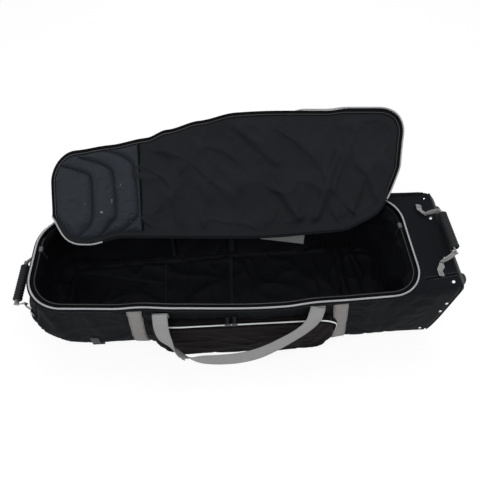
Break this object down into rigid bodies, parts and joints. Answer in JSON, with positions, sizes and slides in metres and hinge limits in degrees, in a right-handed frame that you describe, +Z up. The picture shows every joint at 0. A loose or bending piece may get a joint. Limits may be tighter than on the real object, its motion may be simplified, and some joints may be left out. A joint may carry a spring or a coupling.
{
  "type": "ice hockey equipment bag",
  "caption": "Long wheeled soft equipment bag with a hinged top lid thrown open, front pocket, carry handles, ringed grips and moulded wheel end cap.",
  "frame": {"origin": "on the floor plane under the bag's mid-length, on the middle plane", "axes": "+X along the bag to the wheel end, -Y to the side with the front pocket, +Z up"},
  "size_m": [1.2261, 0.563, 0.4427],
  "materials": {
    "body_cloth": "woven",
    "lining_cloth": "woven",
    "lid_cloth": "woven",
    "quilt_cloth": "quilted",
    "patch_cloth": "woven",
    "webbing": "woven",
    "zipper_tape": "woven",
    "dark_coil": "satin",
    "light_coil": "satin",
    "piping": "satin",
    "moulded_plastic": "matte",
    "grip_rubber": "matte",
    "tyre_rubber": "matte",
    "hub_plastic": "satin",
    "steel": "brushed",
    "slider_metal": "satin"
  },
  "bodies": {
    "bag": {"front_panel": "body_cloth", "back_panel": "body_cloth", "left_end_panel": "body_cloth", "deck_panel": "body_cloth", "bottom_panel": "body_cloth", "lining": "lining_cloth", "base_board": "moulded_plastic", "rim_piping": "piping", "rim_zipper_tape": "zipper_tape", "rim_zipper_coil": "dark_coil", "hinge_gusset": "lining_cloth", "inner_pocket_left": "lining_cloth", "inner_pocket_right": "lining_cloth", "divider_strap": "zipper_tape", "wall_patch": "patch_cloth", "front_pocket": "body_cloth", "pocket_zipper_tape": "zipper_tape", "pocket_zipper_coil": "light_coil", "left_band": "webbing", "right_band": "webbing", "lash_strap": "webbing", "lash_buckle": "moulded_plastic", "skid_rails": "moulded_plastic", "end_cap": "moulded_plastic", "wheel_housing_front": "moulded_plastic", "wheel_housing_back": "moulded_plastic", "stand_feet": "moulded_plastic", "rivets": "steel", "axle_front": "steel", "axle_back": "steel", "handle_tabs": "webbing", "grip_tabs": "webbing"},
    "lid": {"lid_panel": "body_cloth", "lid_lining": "lid_cloth", "lid_quilt_pad": "quilt_cloth", "lid_piping": "piping", "lid_zipper_tape": "zipper_tape", "lid_zipper_coil": "dark_coil", "lid_outer_pocket": "body_cloth"},
    "front_handle": {"front_handle": "webbing"},
    "rear_handle": {"rear_handle": "webbing"},
    "left_grab": {"left_grip": "grip_rubber", "left_grip_webbing": "webbing"},
    "wheel_grab": {"wheel_grip": "grip_rubber", "wheel_grip_webbing": "webbing"},
    "wheel_front": {"tyre_front": "tyre_rubber", "hub_front": "hub_plastic", "bearings_front": "steel"},
    "wheel_back": {"tyre_back": "tyre_rubber", "hub_back": "hub_plastic", "bearings_back": "steel"},
    "pocket_slider_left": {"pocket_slider_left": "slider_metal", "pocket_pull_left": "zipper_tape"},
    "pocket_slider_right": {"pocket_slider_right": "slider_metal", "pocket_pull_right": "zipper_tape"},
    "main_slider_left": {"main_slider_left": "slider_metal", "main_pull_left": "zipper_tape"},
    "main_slider_right": {"main_slider_right": "slider_metal", "main_pull_right": "zipper_tape"}
  },
  "joints": [
    {"name": "lid_hinge", "type": "hinge", "parent": "bag", "child": "lid", "pos_m": [0, 0.106, 0.2651], "axis": [1, 0, 0], "range_deg": [-8, 140], "deforming": ["hinge_gusset"]},
    {"name": "front_handle_swing", "type": "hinge", "parent": "bag", "child": "front_handle", "pos_m": [0.02, -0.1727, 0.25], "axis": [-1, 0, 0], "range_deg": [0, 125]},
    {"name": "rear_handle_swing", "type": "hinge", "parent": "bag", "child": "rear_handle", "pos_m": [0.02, 0.1727, 0.25], "axis": [1, 0, 0], "range_deg": [0, 90]},
    {"name": "left_grab_swing", "type": "hinge", "parent": "bag", "child": "left_grab", "pos_m": [-0.5756, 0, 0.165], "axis": [0, 1, 0], "range_deg": [-30, 30]},
    {"name": "wheel_grab_swing", "type": "hinge", "parent": "bag", "child": "wheel_grab", "pos_m": [0.536, 0, 0.2822], "axis": [0, 1, 0], "range_deg": [-60, 20]},
    {"name": "wheel_front_spin", "type": "hinge", "parent": "bag", "child": "wheel_front", "pos_m": [0.545, -0.118, 0.045], "axis": [0, 1, 0], "continuous": true},
    {"name": "wheel_back_spin", "type": "hinge", "parent": "bag", "child": "wheel_back", "pos_m": [0.545, 0.118, 0.045], "axis": [0, 1, 0], "continuous": true},
    {"name": "pocket_slider_left_slide", "type": "slide", "parent": "bag", "child": "pocket_slider_left", "axis": [-1, 0, 0], "range_m": [0, 0.11]},
    {"name": "pocket_slider_right_slide", "type": "slide", "parent": "bag", "child": "pocket_slider_right", "axis": [1, 0, 0], "range_m": [0, 0.16]},
    {"name": "main_slider_left_slide", "type": "slide", "parent": "bag", "child": "main_slider_left", "axis": [0, -1, 0], "range_m": [0, 0.06]},
    {"name": "main_slider_right_slide", "type": "slide", "parent": "bag", "child": "main_slider_right", "axis": [0, -1, 0], "range_m": [0, 0.11]}
  ]
}
